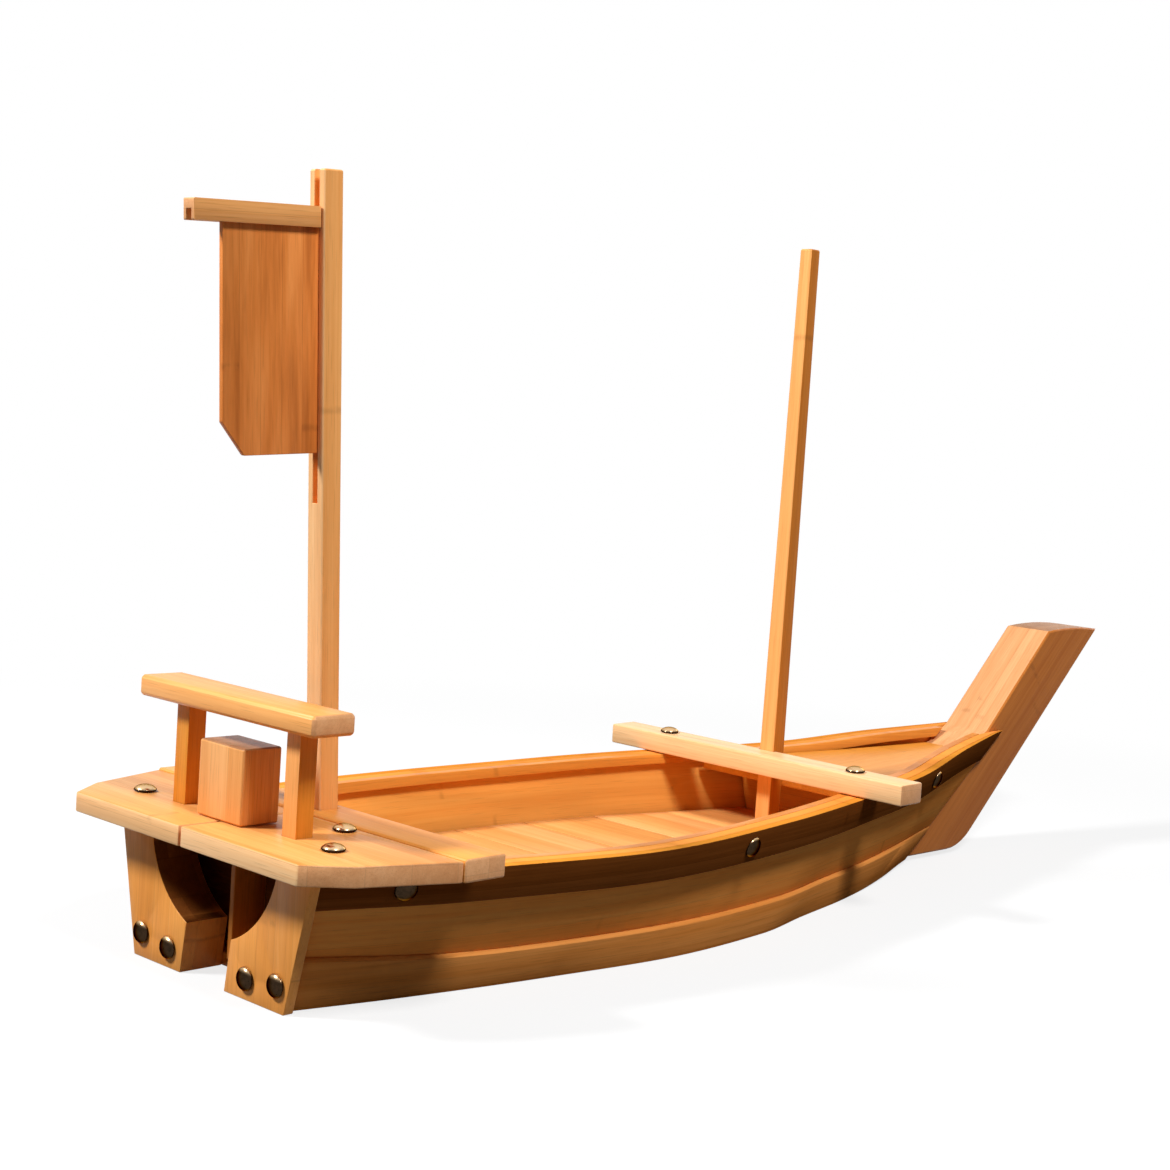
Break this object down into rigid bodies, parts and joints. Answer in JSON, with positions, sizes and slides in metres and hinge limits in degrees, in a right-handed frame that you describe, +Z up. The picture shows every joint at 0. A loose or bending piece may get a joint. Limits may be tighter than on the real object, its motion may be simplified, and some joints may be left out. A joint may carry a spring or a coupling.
{
  "type": "sushi boat",
  "caption": "Planked wooden sushi boat for serving: lapped strakes, raked stem, arched transom, stern deck with handrail and rudder, two pull-out masts, a sail and a lift-out floor.",
  "frame": {"origin": "on the table under the middle of the boat's overall length and width", "axes": "+X points to the bow, +Y to port, +Z up"},
  "size_m": [0.7226, 0.22, 0.3525],
  "materials": {
    "honey_bamboo": "satin varnish",
    "pale_bamboo": "satin varnish",
    "dark_bamboo": "satin varnish",
    "nail_metal": "antique, worn bright on the domes"
  },
  "bodies": {
    "hull": {"beam_nail_port": "nail_metal", "beam_nail_starboard": "nail_metal", "bottom_board": "honey_bamboo", "deck_nail_port_1": "nail_metal", "deck_nail_port_2": "nail_metal", "deck_nail_starboard_1": "nail_metal", "deck_nail_starboard_2": "nail_metal", "fore_bulkhead": "honey_bamboo", "fore_crossbeam": "honey_bamboo", "fore_floor_board": "pale_bamboo", "fore_mast_step": "honey_bamboo", "foredeck": "pale_bamboo", "handrail_bar": "honey_bamboo", "handrail_post_port": "pale_bamboo", "handrail_post_starboard": "pale_bamboo", "inner_rail_port": "pale_bamboo", "inner_rail_starboard": "pale_bamboo", "leg_nail_port_1": "nail_metal", "leg_nail_port_2": "nail_metal", "leg_nail_starboard_1": "nail_metal", "leg_nail_starboard_2": "nail_metal", "lower_strake_port": "honey_bamboo", "lower_strake_starboard": "honey_bamboo", "main_mast_step": "honey_bamboo", "rudder_blade": "dark_bamboo", "rudder_head": "honey_bamboo", "stem_post": "honey_bamboo", "stern_bulkhead": "honey_bamboo", "stern_crossbeam": "pale_bamboo", "stern_deck_port": "pale_bamboo", "stern_deck_starboard": "pale_bamboo", "transom_leg_port": "honey_bamboo", "transom_leg_starboard": "honey_bamboo", "upper_strake_port": "honey_bamboo", "upper_strake_starboard": "honey_bamboo", "wale_nail_port_1": "nail_metal", "wale_nail_port_2": "nail_metal", "wale_nail_port_3": "nail_metal", "wale_nail_starboard_1": "nail_metal", "wale_nail_starboard_2": "nail_metal", "wale_nail_starboard_3": "nail_metal", "wale_port": "honey_bamboo", "wale_starboard": "honey_bamboo"},
    "mast": {"main_mast": "pale_bamboo", "yard": "honey_bamboo"},
    "sail": {"sail_panel": "dark_bamboo"},
    "fore_mast": {"fore_mast": "honey_bamboo"},
    "floor": {"floor_board_1": "pale_bamboo", "floor_board_2": "pale_bamboo", "floor_board_3": "pale_bamboo", "floor_board_4": "pale_bamboo", "floor_board_5": "pale_bamboo", "floor_board_6": "pale_bamboo", "floor_batten_port": "honey_bamboo", "floor_batten_starboard": "honey_bamboo"}
  },
  "joints": [
    {"name": "main_mast_lift", "type": "slide", "parent": "hull", "child": "mast", "axis": [-0.063, 0, 0.998], "range_m": [0, 0.06]},
    {"name": "sail_slide", "type": "slide", "parent": "mast", "child": "sail", "axis": [-0.063, 0, 0.998], "range_m": [-0.02, 0]},
    {"name": "fore_mast_lift", "type": "slide", "parent": "hull", "child": "fore_mast", "axis": [0, 0, 1], "range_m": [0, 0.05]},
    {"name": "floor_lift", "type": "slide", "parent": "hull", "child": "floor", "axis": [0, 0, 1], "range_m": [0, 0.06]}
  ]
}
